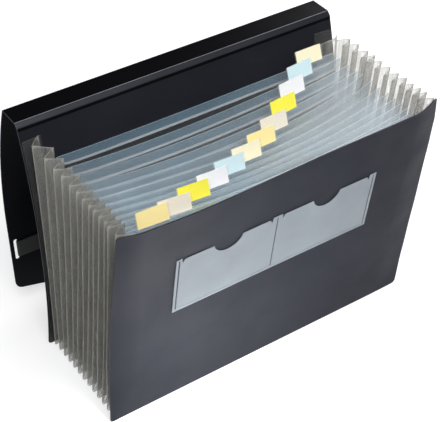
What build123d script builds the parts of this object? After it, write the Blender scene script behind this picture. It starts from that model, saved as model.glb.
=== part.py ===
from build123d import *
import os
from math import atan2, cos, degrees, radians, sin, tan

# Accordion file folder, standing open with its lid flap folded back behind it.
# X runs along the covers, Y from front to back, Z up. The origin is the middle of the
# back cover's bottom edge. All sizes are in millimetres and degrees.

# Cover sheets
WIDTH = 330.0
SHEET = 1.0
CORNER_RADIUS = 4.0
FRONT_HEIGHT = 240.0
FRONT_LEAN = -7.9
BACK_HEIGHT = 244.8
BACK_LEAN = 2.9
BASE_DEPTH = 116.0

# Lid: crease band, spine and flap
BAND_WIDTH = 5.9
BAND_LEAN = 47.0
SPINE_DEPTH = 23.0
CREASE_CLEARANCE = 0.15
FLAP_START_LEAN = 22.0
FLAP_END_LEAN = -2.0
FLAP_BEND_RADIUS = 360.0
FLAP_HANG_LENGTH = 88.0
FLAP_TAPER_RISE = 11.5
FLAP_TAPER_RUN = 46.0
FLAP_CORNER_RADIUS = 9.0

# Closure band and its slots in the flap
SLOT_LENGTH = 24.0
SLOT_WIDTH = 4.0
SLOT_FROM_EDGE = 6.0
SLOT_FROM_END = 58.0
ELASTIC_WIDTH = 18.0
ELASTIC_THICKNESS = 0.9
ELASTIC_GAP = 0.3

# Card pocket on the front cover
CARD_POCKET_X = -5.0
CARD_POCKET_BASE = 122.3
CARD_POCKET_WIDTH = 207.5
CARD_POCKET_HEIGHT = 66.4
WELD_WIDTH = 4.0
WELD_RISE = 1.5
WELD_CHAMFER = 1.0
POCKET_AIR = 0.5
POCKET_FILM = 0.4
THUMB_RADIUS = 15.4
THUMB_DEPTH = 12.0
RELIEF_WIDTH = 2.4
RELIEF_DEPTH = 4.5

# Pockets: one divider stands between each two of them
POCKETS = 13
MOUTH_ABOVE_FRONT = 0.28
MOUTH_FRONT = 15.8
MOUTH_SECOND = 7.2
MOUTH_GROWTH = 0.69
MOUTH_BACK = 29.3

# Gussets: pleated films at the sides and under the pockets
GUSSET_FILM = 0.4
GUSSET_INSET = 4.4
PLEAT_DEPTH = 13.0
GUSSET_LIFT = 0.8
FLANGE_LAP = 2.0
FLANGE_WIDTH = 18.0
FLANGE_DROP = 6.0
WELD_GAP = 0.3

# Dividers with their hems
DIVIDER_SHEET = 0.4
HEM_SHEET = 0.3
HEM_HEIGHT = 13.0
DIVIDER_CORNER = 3.0

# Index cards in clear sleeves
TAB_ROW_LEFT_MARGIN = 39.55
TAB_ROW_RIGHT_MARGIN = 49.55
CARD_WIDTH = 28.0
CARD_HEIGHT = 16.0
CARD_SHEET = 0.3
CARD_CORNER = 1.5
TAB_RISE = 4.5
SLEEVE_RIM = 1.2
SLEEVE_FILM = 0.2
SLEEVE_CORNER = 0.6
SLEEVE_CLEARANCE = 0.05


def lean_plane(floor_y, lean):
    """Plane through a line on the floor, leaning back by lean; its normal faces the front."""
    angle = radians(lean)
    return Plane(origin=(0, floor_y, 0), x_dir=(1, 0, 0), z_dir=(0, -cos(angle), sin(angle)))


def through(plane):
    """Direction straight through a sheet that lies on a plane."""
    return Axis(plane.origin, plane.z_dir)


def finish(piece, name):
    """Label a finished piece and write it to its own file."""
    piece.part.label = name
    export_step(piece.part, f"parts/{name}.step")


# Inner faces of the covers: sheet 0 is the front cover, sheet POCKETS is the back cover
BACK_FLOOR_Y = -SHEET / 2
FRONT_FLOOR_Y = BACK_FLOOR_Y - BASE_DEPTH
FRONT_PLANE = lean_plane(FRONT_FLOOR_Y, FRONT_LEAN)
BACK_PLANE = lean_plane(BACK_FLOOR_Y, BACK_LEAN)
MOUTH_HEIGHT = FRONT_HEIGHT * cos(radians(FRONT_LEAN)) + MOUTH_ABOVE_FRONT
FRONT_MOUTH_Y = FRONT_FLOOR_Y + MOUTH_HEIGHT * tan(radians(FRONT_LEAN))
BACK_MOUTH_Y = BACK_FLOOR_Y + MOUTH_HEIGHT * tan(radians(BACK_LEAN))
MOUTHS = [MOUTH_FRONT]
MOUTHS += [MOUTH_SECOND + MOUTH_GROWTH * step for step in range(POCKETS - 2)]
MOUTHS += [MOUTH_BACK]


def floor_y(sheet):
    """Where a sheet's rear face meets the floor: evenly spaced."""
    return FRONT_FLOOR_Y + BASE_DEPTH * sheet / POCKETS


def mouth_y(sheet):
    """Where a sheet's rear face is at the mouth: the pockets open wider towards the back."""
    share = sum(MOUTHS[:sheet]) / sum(MOUTHS)
    return FRONT_MOUTH_Y + (BACK_MOUTH_Y - FRONT_MOUTH_Y) * share


def sheet_y(sheet, z):
    """Where a sheet's rear face is at a height."""
    return floor_y(sheet) + (mouth_y(sheet) - floor_y(sheet)) * z / MOUTH_HEIGHT


def sheet_lean(sheet):
    """How far a sheet leans back, in degrees."""
    return degrees(atan2(mouth_y(sheet) - floor_y(sheet), MOUTH_HEIGHT))


# Pleat folds: the film's thickness is measured square to a pleat, so it is wider across the fold
FLOOR_PITCH = BASE_DEPTH / POCKETS
OUTER_FOLD_X = WIDTH / 2 - GUSSET_INSET
INNER_FOLD_X = OUTER_FOLD_X - PLEAT_DEPTH
FOLD_HALF = GUSSET_FILM / sin(atan2(FLOOR_PITCH / 2, PLEAT_DEPTH)) / 2
GUSSET_TOP = MOUTH_HEIGHT
OUTER_FOLD_Z = GUSSET_LIFT + FOLD_HALF
INNER_FOLD_Z = OUTER_FOLD_Z + PLEAT_DEPTH
DIVIDER_HALF_WIDTH = INNER_FOLD_X - FOLD_HALF - WELD_GAP
DIVIDER_BOTTOM = INNER_FOLD_Z + FOLD_HALF + WELD_GAP
FLOOR_REACH = INNER_FOLD_X - FLANGE_LAP + FLANGE_WIDTH


def fold_row(z, inner, outer):
    """Fold points of a pleated film at a height, as (depth, y), from the back cover to the front cover."""
    row = [(inner, sheet_y(POCKETS, z) - GUSSET_FILM / 2)]
    for pocket in reversed(range(POCKETS)):
        row.append((outer, (sheet_y(pocket, z) + sheet_y(pocket + 1, z)) / 2))
        row.append((inner, sheet_y(pocket, z) - DIVIDER_SHEET / 2))
    row[-1] = (inner, sheet_y(0, z) + WELD_GAP + GUSSET_FILM / 2)
    return row


def film_outline(row):
    """Closed outline of a pleated film: the fold row moved out, and back along the row moved in."""
    out = [(depth + FOLD_HALF, y) for depth, y in row]
    back = [(depth - FOLD_HALF, y) for depth, y in reversed(row)]
    return out + back


def mitre_plane(side):
    """Plane through both rows of folds where a side gusset meets the bottom gusset, facing up and out."""
    return Plane(origin=(side * INNER_FOLD_X, 0, INNER_FOLD_Z), x_dir=(0, 1, 0), z_dir=(side, 0, 1))


os.makedirs("parts", exist_ok=True)

# Front cover: a flat sheet cut level at the floor
with BuildPart() as front_cover:
    with BuildSketch(FRONT_PLANE) as front_outline:
        Rectangle(WIDTH, FRONT_HEIGHT, align=(Align.CENTER, Align.MIN))
        fillet(front_outline.vertices(), CORNER_RADIUS)
    extrude(amount=SHEET)
    split(bisect_by=Plane.XY, keep=Keep.TOP)
finish(front_cover, "front_cover")

# Card pocket: weld strips on the front cover carry a film with a thumb notch over each pocket
CARD_POCKET_TOP = CARD_POCKET_BASE + CARD_POCKET_HEIGHT
POCKET_PITCH = (CARD_POCKET_WIDTH - WELD_WIDTH) / 2
STRIP_X = [CARD_POCKET_X + POCKET_PITCH * step for step in (-1, 0, 1)]
PANEL_X = [CARD_POCKET_X + POCKET_PITCH * step for step in (-0.5, 0.5)]
RELIEF_OFFSET = (POCKET_PITCH - WELD_WIDTH - RELIEF_WIDTH) / 2
POCKET_PLANE = FRONT_PLANE.offset(SHEET)
with BuildPart() as card_pocket:
    with BuildSketch(POCKET_PLANE):
        with Locations((CARD_POCKET_X, CARD_POCKET_BASE)):
            Rectangle(CARD_POCKET_WIDTH, WELD_WIDTH, align=(Align.CENTER, Align.MIN))
        with Locations(*[(x, CARD_POCKET_BASE) for x in STRIP_X]):
            Rectangle(WELD_WIDTH, CARD_POCKET_HEIGHT, align=(Align.CENTER, Align.MIN))
    extrude(amount=POCKET_AIR + POCKET_FILM)
    strip_ends = card_pocket.faces().sort_by(Axis.Z)[-3:]
    chamfer(strip_ends.edges().filter_by(through(POCKET_PLANE)), WELD_CHAMFER)
    with BuildSketch(POCKET_PLANE.offset(POCKET_AIR)):
        with Locations((CARD_POCKET_X, CARD_POCKET_BASE)):
            Rectangle(CARD_POCKET_WIDTH, CARD_POCKET_HEIGHT - WELD_RISE, align=(Align.CENTER, Align.MIN))
        for panel_x in PANEL_X:
            with Locations((panel_x, CARD_POCKET_TOP - WELD_RISE)):
                with Locations((0, THUMB_RADIUS - THUMB_DEPTH)):
                    Circle(THUMB_RADIUS, mode=Mode.SUBTRACT)
                with Locations((-RELIEF_OFFSET, 0), (RELIEF_OFFSET, 0)):
                    Triangle(a=RELIEF_WIDTH, b=RELIEF_DEPTH, c=RELIEF_DEPTH, rotation=180,
                             align=(Align.CENTER, Align.MIN), mode=Mode.SUBTRACT)
    extrude(amount=POCKET_FILM)
finish(card_pocket, "card_pocket")

# Crease lines of the lid lie on the sheets' upper faces; each sheet ends short of them for its bend
BACK_TOP = (BACK_FLOOR_Y + BACK_HEIGHT * sin(radians(BACK_LEAN)), BACK_HEIGHT * cos(radians(BACK_LEAN)))
BAND_RUN = (sin(radians(BAND_LEAN)), cos(radians(BAND_LEAN)))
SPINE_CREASE = (BACK_TOP[0] + BAND_WIDTH * BAND_RUN[0], BACK_TOP[1] + BAND_WIDTH * BAND_RUN[1])
SPINE_BEND = 90 - BAND_LEAN
SPINE_RETREAT = SHEET * tan(radians(SPINE_BEND / 2)) + CREASE_CLEARANCE
BAND_REACH = BAND_WIDTH - SPINE_RETREAT
BAND_END = (BACK_TOP[0] + BAND_REACH * BAND_RUN[0], BACK_TOP[1] + BAND_REACH * BAND_RUN[1])
FLAP_CREASE = (SPINE_CREASE[0] + SPINE_DEPTH, SPINE_CREASE[1])
FLAP_BEND = 90 - FLAP_START_LEAN
FLAP_RETREAT = SHEET * tan(radians(FLAP_BEND / 2)) + CREASE_CLEARANCE

# Back cover: the panel and the crease band along its top are one bent sheet
with BuildPart() as back_cover:
    with BuildSketch(Plane.YZ):
        with BuildLine():
            Polyline((BACK_FLOOR_Y, 0), BACK_TOP, BAND_END)
            offset(amount=SHEET, side=Side.RIGHT, kind=Kind.INTERSECTION)
        make_face()
    extrude(amount=WIDTH / 2, both=True)
    split(bisect_by=Plane.XY, keep=Keep.TOP)
    floor_corners = back_cover.edges().filter_by(Axis.Y).group_by(Axis.Z)[0]
    fillet(floor_corners, CORNER_RADIUS)
finish(back_cover, "back_cover")

# Lid spine: the strip between the two creases
with BuildPart() as lid_spine:
    with BuildSketch(Plane.XY.offset(SPINE_CREASE[1] - SHEET)):
        with Locations((0, SPINE_CREASE[0] + SPINE_RETREAT)):
            Rectangle(WIDTH, SPINE_DEPTH - SPINE_RETREAT - FLAP_RETREAT, align=(Align.CENTER, Align.MIN))
    extrude(amount=SHEET)
finish(lid_spine, "lid_spine")

# Lid flap: springs out from its crease, bends down and hangs straight; tapered lower corners, two slots
FLAP_TURN = FLAP_START_LEAN - FLAP_END_LEAN
FLAP_RUN = (sin(radians(FLAP_START_LEAN)), -cos(radians(FLAP_START_LEAN)))
FLAP_START = (FLAP_CREASE[0] + FLAP_RETREAT * FLAP_RUN[0], FLAP_CREASE[1] + FLAP_RETREAT * FLAP_RUN[1])
END_DIRECTION = (sin(radians(FLAP_END_LEAN)), -cos(radians(FLAP_END_LEAN)))
with BuildPart() as lid_flap:
    with BuildSketch(Plane.YZ):
        with BuildLine():
            bend = JernArc(FLAP_START, FLAP_RUN, FLAP_BEND_RADIUS, -FLAP_TURN)
            hang = PolarLine(bend @ 1, FLAP_HANG_LENGTH, direction=END_DIRECTION)
            flap_bend_end = bend @ 1
            flap_end = hang @ 1
            offset(amount=SHEET, side=Side.RIGHT, kind=Kind.INTERSECTION)
        make_face()
    extrude(amount=WIDTH / 2, both=True)
    with BuildSketch(Plane.XZ) as flap_outline:
        Polygon(
            (-WIDTH / 2, SPINE_CREASE[1]),
            (WIDTH / 2, SPINE_CREASE[1]),
            (WIDTH / 2, flap_end.Y + FLAP_TAPER_RISE),
            (WIDTH / 2 - FLAP_TAPER_RUN, flap_end.Y),
            (FLAP_TAPER_RUN - WIDTH / 2, flap_end.Y),
            (-WIDTH / 2, flap_end.Y + FLAP_TAPER_RISE),
            align=None,
        )
        fillet(flap_outline.vertices().group_by(Axis.Y)[1], FLAP_CORNER_RADIUS)
    extrude(amount=WIDTH, both=True, mode=Mode.INTERSECT)
    SLOT_X = WIDTH / 2 - SLOT_FROM_EDGE
    SLOT_Z = flap_end.Y + SLOT_FROM_END
    with BuildSketch(Plane.XZ):
        with Locations((-SLOT_X, SLOT_Z), (SLOT_X, SLOT_Z)):
            SlotOverall(SLOT_LENGTH, SLOT_WIDTH, rotation=90)
    extrude(amount=WIDTH, both=True, mode=Mode.SUBTRACT)
finish(lid_flap, "lid_flap")

# Closure band: a flat elastic loop through both slots, one run on each side of the flap
SLOT_DOWN = (flap_bend_end.Y - SLOT_Z) / cos(radians(FLAP_END_LEAN))
SLOT_Y = flap_bend_end.X + SLOT_DOWN * END_DIRECTION[0]
LOOP_PLANE = Plane(
    origin=(0, SLOT_Y, SLOT_Z), x_dir=(1, 0, 0), z_dir=(0, -END_DIRECTION[0], -END_DIRECTION[1])
)
LOOP_DEPTH = SHEET + 2 * ELASTIC_GAP
with BuildPart() as closure_band:
    with BuildSketch(LOOP_PLANE):
        with Locations((0, -SHEET / 2)):
            RectangleRounded(
                2 * SLOT_X + ELASTIC_THICKNESS,
                LOOP_DEPTH + 2 * ELASTIC_THICKNESS,
                ELASTIC_THICKNESS,
            )
            Rectangle(2 * SLOT_X - ELASTIC_THICKNESS, LOOP_DEPTH, mode=Mode.SUBTRACT)
    extrude(amount=ELASTIC_WIDTH / 2, both=True)
finish(closure_band, "closure_band")

# Side gussets: a pleated film ruled from the floor to the mouth, with a flat flange along each cover,
# mitred at the lower corners
FLANGE_TOP = GUSSET_TOP - FLANGE_DROP
FRONT_FLANGE_PLANE = FRONT_PLANE.offset(-WELD_GAP - GUSSET_FILM)
for side, name in ((-1, "left_gusset"), (1, "right_gusset")):
    with BuildPart() as side_gusset:
        for level in (GUSSET_LIFT, GUSSET_TOP):
            with BuildSketch(Plane.XY.offset(level)):
                fold = film_outline(fold_row(level, INNER_FOLD_X, OUTER_FOLD_X))
                Polygon(*[(side * depth, y) for depth, y in fold], align=None)
        loft(ruled=True)
        for cover_plane in (BACK_PLANE, FRONT_FLANGE_PLANE):
            with BuildSketch(cover_plane):
                with Locations((side * (INNER_FOLD_X - FLANGE_LAP + FLANGE_WIDTH / 2), GUSSET_LIFT)):
                    Rectangle(FLANGE_WIDTH, FLANGE_TOP - GUSSET_LIFT, align=(Align.CENTER, Align.MIN))
            extrude(amount=GUSSET_FILM)
        split(bisect_by=mitre_plane(side), keep=Keep.TOP)
    finish(side_gusset, name)

# Bottom gusset: the same pleats laid along the floor and mitred to the sides, with a low flange on each cover
with BuildPart() as bottom_gusset:
    with BuildSketch(Plane.YZ):
        low = fold_row(OUTER_FOLD_Z, INNER_FOLD_Z, OUTER_FOLD_Z)
        high = fold_row(INNER_FOLD_Z, INNER_FOLD_Z, OUTER_FOLD_Z)
        floor_row = [high[i] if i % 2 == 0 else low[i] for i in range(len(low))]
        Polygon(*[(y, z) for z, y in film_outline(floor_row)], align=None)
    extrude(amount=FLOOR_REACH, both=True)
    for cover_plane in (BACK_PLANE, FRONT_FLANGE_PLANE):
        with BuildSketch(cover_plane):
            with Locations((0, GUSSET_LIFT)):
                Rectangle(2 * FLOOR_REACH, INNER_FOLD_Z + FLANGE_LAP, align=(Align.CENTER, Align.MIN))
        extrude(amount=GUSSET_FILM)
    for side in (-1, 1):
        split(bisect_by=mitre_plane(side), keep=Keep.BOTTOM)
finish(bottom_gusset, "bottom_gusset")

# Dividers, counted from the front: each carries one index card in a clear sleeve on its hem
SLEEVE_DEPTH = CARD_SHEET + 2 * SLEEVE_CLEARANCE
POUCH_WIDTH = CARD_WIDTH + 2 * SLEEVE_CLEARANCE
POUCH_HEIGHT = CARD_HEIGHT + SLEEVE_CLEARANCE
SLEEVE_WIDTH = POUCH_WIDTH + 2 * SLEEVE_RIM
SLEEVE_HEIGHT = POUCH_HEIGHT + SLEEVE_RIM
TAB_ROW_START = TAB_ROW_LEFT_MARGIN - WIDTH / 2
TAB_PITCH = (WIDTH - TAB_ROW_LEFT_MARGIN - TAB_ROW_RIGHT_MARGIN) / (POCKETS - 2)
for number in range(1, POCKETS):
    lean = sheet_lean(number)
    sheet_plane = lean_plane(floor_y(number), lean)
    top_edge = MOUTH_HEIGHT / cos(radians(lean))
    bottom_edge = DIVIDER_BOTTOM / cos(radians(lean))

    with BuildPart() as divider:
        with BuildSketch(sheet_plane) as divider_outline:
            with Locations((0, top_edge)):
                Rectangle(2 * DIVIDER_HALF_WIDTH, top_edge - bottom_edge, align=(Align.CENTER, Align.MAX))
            fillet(divider_outline.vertices().group_by(Axis.Y)[-1], DIVIDER_CORNER)
        extrude(amount=DIVIDER_SHEET)
        with BuildSketch(sheet_plane.offset(DIVIDER_SHEET)) as hem_outline:
            with Locations((0, top_edge)):
                Rectangle(2 * DIVIDER_HALF_WIDTH, HEM_HEIGHT, align=(Align.CENTER, Align.MAX))
            fillet(hem_outline.vertices().group_by(Axis.Y)[-1], DIVIDER_CORNER)
        extrude(amount=HEM_SHEET)
    finish(divider, f"divider_{number:02d}")

    tab_x = TAB_ROW_START + TAB_PITCH * (number - 1)
    tab_top = top_edge + TAB_RISE
    hem_face = sheet_plane.offset(DIVIDER_SHEET + HEM_SHEET)

    with BuildPart() as index_card:
        with BuildSketch(hem_face.offset(SLEEVE_CLEARANCE)) as card_outline:
            with Locations((tab_x, tab_top)):
                Rectangle(CARD_WIDTH, CARD_HEIGHT, align=(Align.CENTER, Align.MAX))
            fillet(card_outline.vertices().group_by(Axis.Y)[-1], CARD_CORNER)
        extrude(amount=CARD_SHEET)
    finish(index_card, f"index_card_{number:02d}")

    with BuildPart() as tab_sleeve:
        with BuildSketch(hem_face):
            with Locations((tab_x, tab_top)):
                Rectangle(SLEEVE_WIDTH, SLEEVE_HEIGHT, align=(Align.CENTER, Align.MAX))
        extrude(amount=SLEEVE_DEPTH + SLEEVE_FILM)
        with BuildSketch(hem_face):
            with Locations((tab_x, tab_top)):
                Rectangle(POUCH_WIDTH, POUCH_HEIGHT, align=(Align.CENTER, Align.MAX))
        extrude(amount=SLEEVE_DEPTH, mode=Mode.SUBTRACT)
        top_corners = tab_sleeve.edges().filter_by(through(sheet_plane)).group_by(Axis.Z)[-1]
        fillet(top_corners.sort_by(Axis.X)[::len(top_corners) - 1], SLEEVE_CORNER)
    finish(tab_sleeve, f"tab_sleeve_{number:02d}")
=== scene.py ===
from math import atan2, cos, pi, radians, sin, sqrt, tan
from random import Random

import bmesh
import bpy
from mathutils import Matrix, Vector


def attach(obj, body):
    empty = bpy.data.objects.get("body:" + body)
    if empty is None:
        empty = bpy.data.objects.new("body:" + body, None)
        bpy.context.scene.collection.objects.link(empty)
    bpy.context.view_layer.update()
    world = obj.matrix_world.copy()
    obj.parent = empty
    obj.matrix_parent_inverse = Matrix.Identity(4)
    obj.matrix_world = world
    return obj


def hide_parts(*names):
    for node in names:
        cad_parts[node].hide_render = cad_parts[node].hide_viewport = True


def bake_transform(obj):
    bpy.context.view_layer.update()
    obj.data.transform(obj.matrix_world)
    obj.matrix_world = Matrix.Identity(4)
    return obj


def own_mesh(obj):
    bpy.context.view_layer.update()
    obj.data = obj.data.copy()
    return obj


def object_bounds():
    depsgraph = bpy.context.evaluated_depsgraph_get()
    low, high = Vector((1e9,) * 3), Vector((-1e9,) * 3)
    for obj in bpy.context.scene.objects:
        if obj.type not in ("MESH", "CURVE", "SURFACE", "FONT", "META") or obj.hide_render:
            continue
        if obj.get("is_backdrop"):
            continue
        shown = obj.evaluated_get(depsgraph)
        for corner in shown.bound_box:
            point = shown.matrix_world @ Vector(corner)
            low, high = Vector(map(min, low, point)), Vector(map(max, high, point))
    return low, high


# Accordion file folder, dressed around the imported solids.
# Lengths are millimetres in the part's frame; meshes are written in metres.

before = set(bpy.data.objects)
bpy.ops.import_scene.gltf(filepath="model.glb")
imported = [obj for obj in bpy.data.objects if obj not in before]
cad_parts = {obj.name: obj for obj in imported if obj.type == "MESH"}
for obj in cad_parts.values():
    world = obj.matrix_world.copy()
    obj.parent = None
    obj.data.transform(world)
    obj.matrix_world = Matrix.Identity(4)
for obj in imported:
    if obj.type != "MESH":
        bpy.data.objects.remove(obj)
cad_low, cad_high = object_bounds()
scene = bpy.context.scene
MM = 0.001

# Covers and lid, as in the part's source
WIDTH = 330.0
HALF_WIDTH = WIDTH / 2
SHEET = 1.0
CORNER_RADIUS = 4.0
FRONT_HEIGHT = 240.0
FRONT_LEAN = radians(-7.9)
BACK_HEIGHT = 244.8
BACK_LEAN = radians(2.9)
BASE_DEPTH = 116.0
BAND_WIDTH = 5.9
BAND_LEAN = radians(47)
SPINE_DEPTH = 23.0
CREASE_CLEARANCE = 0.15
FLAP_START_LEAN = radians(22)
FLAP_RETREAT = SHEET * tan((pi / 2 - FLAP_START_LEAN) / 2) + CREASE_CLEARANCE
FLAP_END_LEAN = radians(-2)
FLAP_BEND_RADIUS = 360.0
FLAP_HANG_LENGTH = 88.0
FLAP_TAPER_RISE = 11.5
FLAP_TAPER_RUN = 46.0
FLAP_CORNER_RADIUS = 9.0
SLOT_LENGTH = 24.0
SLOT_WIDTH = 4.0
SLOT_FROM_EDGE = 6.0
SLOT_X = HALF_WIDTH - SLOT_FROM_EDGE
SLOT_FROM_END = 58.0

# Pockets, gussets and dividers, following the part's source
POCKETS = 13
BACK_FLOOR_Y = -SHEET / 2
FRONT_FLOOR_Y = BACK_FLOOR_Y - BASE_DEPTH
MOUTH_ABOVE_FRONT = 0.28
MOUTH_HEIGHT = FRONT_HEIGHT * cos(FRONT_LEAN) + MOUTH_ABOVE_FRONT
MOUTH_FRONT = 15.8
MOUTH_SECOND = 7.2
MOUTH_GROWTH = 0.69
MOUTH_BACK = 29.3
MOUTHS = [MOUTH_FRONT] + [MOUTH_SECOND + MOUTH_GROWTH * step for step in range(POCKETS - 2)] + [MOUTH_BACK]
GUSSET_FILM = 0.4
GUSSET_INSET = 4.4
PLEAT_DEPTH = 13.0
OUTER_FOLD_Z = 1.45
INNER_FOLD_X = HALF_WIDTH - GUSSET_INSET - PLEAT_DEPTH
INNER_FOLD_Z = OUTER_FOLD_Z + PLEAT_DEPTH
FLANGE_LAP = 2.0
FLANGE_WIDTH = 18.0
FLANGE_INNER_X = INNER_FOLD_X - FLANGE_LAP
FLANGE_OUTER_X = FLANGE_INNER_X + FLANGE_WIDTH
FLANGE_TOP = 232.0
DIVIDER_HALF = 146.3
DIVIDER_BOTTOM = 15.5
DIVIDER_SHEET = 0.4
HEM_SHEET = 0.3

# Lowered divider tops and small forms of the films, which only this script has
DIVIDER_DROP = 11.5
DIVIDER_CORNER = 1.2
HEM_HEIGHT = 8.8
HEM_WELD_WIDTH = 2.0
HEM_WELD_RISE = 0.1
FILM_GAP = 0.02
FLANGE_CORNER = 1.5
FLANGE_GAP = 0.12
FRONT_PLEAT_GAP = 0.5

# Index cards and their sleeves
CARD_WIDTH = 28.0
CARD_HEIGHT = 13.4
CARD_SHEET = 0.3
CARD_CORNER = 0.4
CARD_SEAT = 1.0
CARD_GAP = 0.05
SLEEVE_RIM = 1.25
SLEEVE_CORNER = 0.6
SLEEVE_NEAR = 0.42
SLEEVE_FAR = 0.6
TAB_ROW_LEFT_MARGIN = 39.55
TAB_ROW_RIGHT_MARGIN = 49.55
TAB_ROW_SHIFT = 2.75
TAB_START = TAB_ROW_LEFT_MARGIN + TAB_ROW_SHIFT - HALF_WIDTH
TAB_PITCH = (WIDTH - TAB_ROW_LEFT_MARGIN - TAB_ROW_RIGHT_MARGIN) / (POCKETS - 2)

# How far the dividers' top edges stand forward at both ends and bow out between them, and how far the bow
# leans to the right, from the front divider to the rear one
LEFT_STANDS = [-0.3, 1.0, 1.0, 2.1, 2.3, 2.8, 4.0, 5.0, 5.2, 5.2, 4.1, 0.6]
RIGHT_STANDS = [0.0, 0.0, -0.5, -1.0, -2.0, -3.2, -5.0, -6.3, -2.0, -1.7, -2.2, 1.1]
BOWS = [6.0, 11.5, 11.0, 12.6, 13.9, 16.2, 17.5, 17.2, 13.4, 9.6, 7.6, 1.6]
SWAYS = [0.0, 0.0, 0.0, 1.0, 2.0, 2.5, 5.0, 7.4, -1.1, 0.0, -1.2, -1.2]
BOW_POWER = 0.7

# How far the front cover's top edge stands out, left to right
FRONT_BOW = [(-165, 0.8), (-90, 3.4), (70, 0.0), (165, -0.6)]
FRONT_BOW_POWER = 5

# How far the front cover's side edges curl back, from foot to top, and are drawn in at the left
LEFT_CURL = [(0, 0.0), (58, 4.5), (120, 5.2), (190, 3.6), (240, 4.6)]
RIGHT_CURL = [(0, 0.5), (45, 2.3), (100, 3.6), (180, 5.5), (215, 6.6), (240, 9.5)]
LEFT_CURL_FROM = 140
RIGHT_CURL_FROM = 132
CURL_POWER = 1.6
LEFT_INSET = 2.0
LEFT_INSET_FROM = 150

# The dividers' tops curl back, but not at their two ends
HEM_CURL_REACH = 26.0
HEM_CURL_SLOPE = 0.45
HEM_CURL_FADE = 24

# The back cover's side edges are drawn forward by the gussets
BACK_CURL = 14.0
BACK_CURL_FROM = 122.0
FLAT_TOP = 3.0

# The pleats stand higher on the right, and the last pleat on each side falls towards the back cover
RIGHT_PLEAT_RISE = 2.6
LAST_PLEAT_FALL = 5.0
RIGHT_LAST_FALL = 18.0

# Unevenness of the pleats' tops, depth and folds, and the bulge of their faces
PLEAT_DROP = 0.4
TOP_SCATTER = 0.6
DEPTH_SCATTER = 0.5
DEPTH_WAVE = 0.7
FOLD_SCATTER = 0.5
FOLD_WAVE = 0.6
PLEAT_BULGE = 0.25
BULGE_GROWTH = 0.03
# A fold's blunt tip: half its breadth, its depth, and the gap for its full breadth
FOLD_TIP = 0.5
FOLD_TIP_DEPTH = 0.35
FOLD_TIP_GAP = 8

chance = Random(11)


def smooth(t):
    """0 to 1 with a soft start and end."""
    t = min(1.0, max(0.0, t))
    return t * t * (3 - 2 * t)


def between(table, value):
    """Value of a table of (place, value) pairs, joined by soft steps."""
    if value <= table[0][0]:
        return table[0][1]
    for (a, low), (b, high) in zip(table, table[1:]):
        if value <= b:
            return low + (high - low) * smooth((value - a) / (b - a))
    return table[-1][1]


def steps(low, high, count):
    """Evenly spaced values with both ends."""
    return [low + (high - low) * i / (count - 1) for i in range(count)]


# Sheets: 0 is the front cover's inner face, 1 to 12 are the dividers, 13 is the back cover's inner face


def floor_y(sheet):
    return FRONT_FLOOR_Y + BASE_DEPTH * sheet / POCKETS


def mouth_y(sheet):
    front = FRONT_FLOOR_Y + MOUTH_HEIGHT * tan(FRONT_LEAN)
    back = BACK_FLOOR_Y + MOUTH_HEIGHT * tan(BACK_LEAN)
    return front + (back - front) * sum(MOUTHS[:sheet]) / sum(MOUTHS)


def sheet_y(sheet, z):
    return floor_y(sheet) + (mouth_y(sheet) - floor_y(sheet)) * z / MOUTH_HEIGHT


def lean_of(sheet):
    return atan2(mouth_y(sheet) - floor_y(sheet), MOUTH_HEIGHT)


def on_sheet(sheet, x, along, ahead):
    """Point on a sheet: along runs up the sheet, ahead stands out towards the front."""
    lean = lean_of(sheet)
    y = floor_y(sheet) + along * sin(lean) - ahead * cos(lean)
    return x, y, along * cos(lean) + ahead * sin(lean)


def facing(sheet):
    """Direction in which a sheet faces the front."""
    lean = lean_of(sheet)
    return 0.0, -cos(lean), sin(lean)


def metres(point):
    return tuple(MM * value for value in point)


def flatten_to(piece, sheet, ahead=0.0):
    """Gives a piece its own mesh; its place and facing on the sheet are worked out but not applied."""
    anchor = metres(on_sheet(sheet, 0, 0, ahead))
    facing(sheet)
    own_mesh(piece)


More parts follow.
